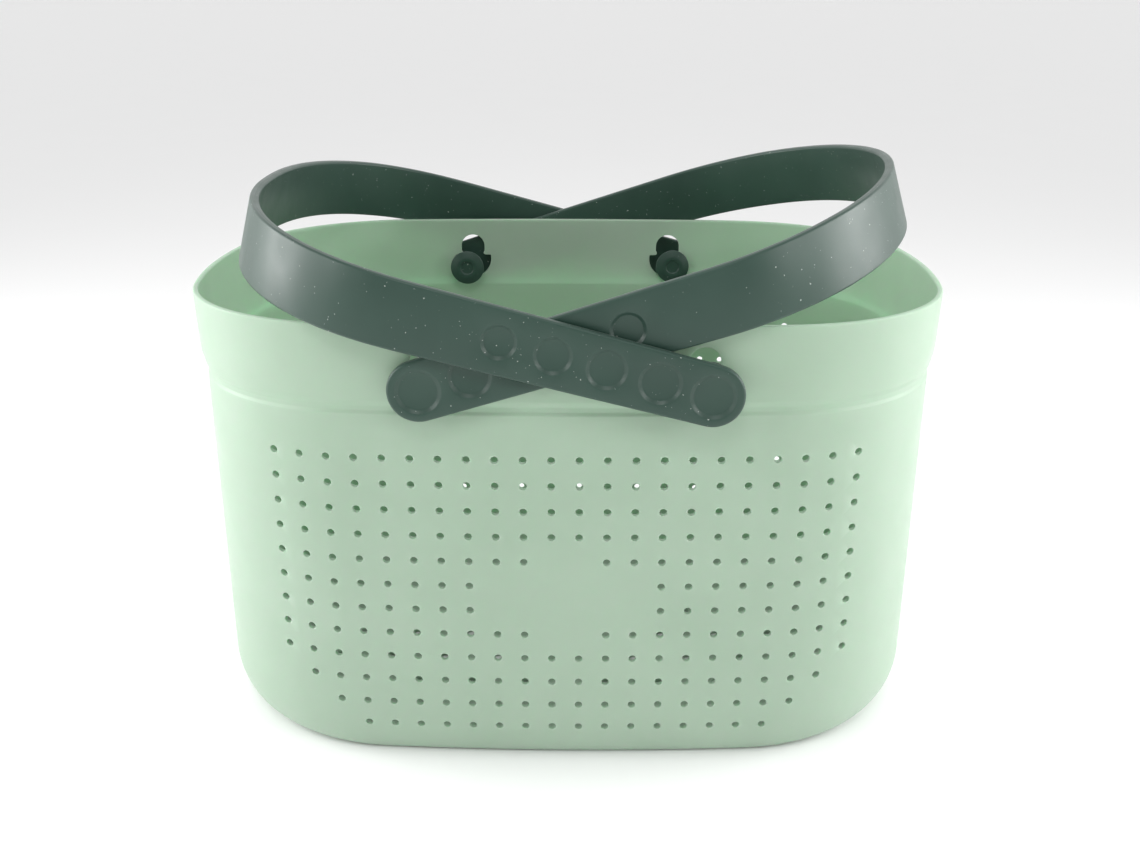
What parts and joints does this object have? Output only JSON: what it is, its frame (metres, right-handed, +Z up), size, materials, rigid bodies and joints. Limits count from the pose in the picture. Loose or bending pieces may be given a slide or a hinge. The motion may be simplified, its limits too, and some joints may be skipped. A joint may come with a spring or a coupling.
{
  "type": "shower caddy",
  "caption": "Perforated plastic tote basket with two crossing strap handles that swing on mushroom studs held in keyholes in the collar.",
  "frame": {"origin": "centre of the flat base, on the surface that the basket stands on", "axes": "+X along the basket's length to the right, -Y the front, +Z up"},
  "size_m": [0.2932, 0.2206, 0.2188],
  "materials": {
    "basket": "satin moulded polypropylene, pale mint green",
    "outer_handle": "satin flexible moulding, dark grey-green",
    "inner_handle": "satin flexible moulding, dark grey-green",
    "studs": "satin flexible moulding, dark grey-green"
  },
  "bodies": {
    "basket": {"basket": "basket"},
    "outer_studs": {"outer_handle_studs": "studs"},
    "outer_handle": {"outer_handle_strap": "outer_handle"},
    "inner_studs": {"inner_handle_studs": "studs"},
    "inner_handle": {"inner_handle_strap": "inner_handle"}
  },
  "joints": [
    {"name": "outer_studs_slide", "type": "slide", "parent": "basket", "child": "outer_studs", "axis": [-0.3225, 0, 0.9466], "range_m": [0, 0.0096]},
    {"name": "outer_handle_swing", "type": "hinge", "parent": "outer_studs", "child": "outer_handle", "pos_m": [0.05, 0, 0.1513], "axis": [0, 1, 0], "range_deg": [0, 54]},
    {"name": "inner_studs_slide", "type": "slide", "parent": "basket", "child": "inner_studs", "axis": [0.3225, 0, 0.9466], "range_m": [0, 0.0096]},
    {"name": "inner_handle_swing", "type": "hinge", "parent": "inner_studs", "child": "inner_handle", "pos_m": [-0.05, 0, 0.1513], "axis": [0, -1, 0], "range_deg": [0, 37]}
  ]
}
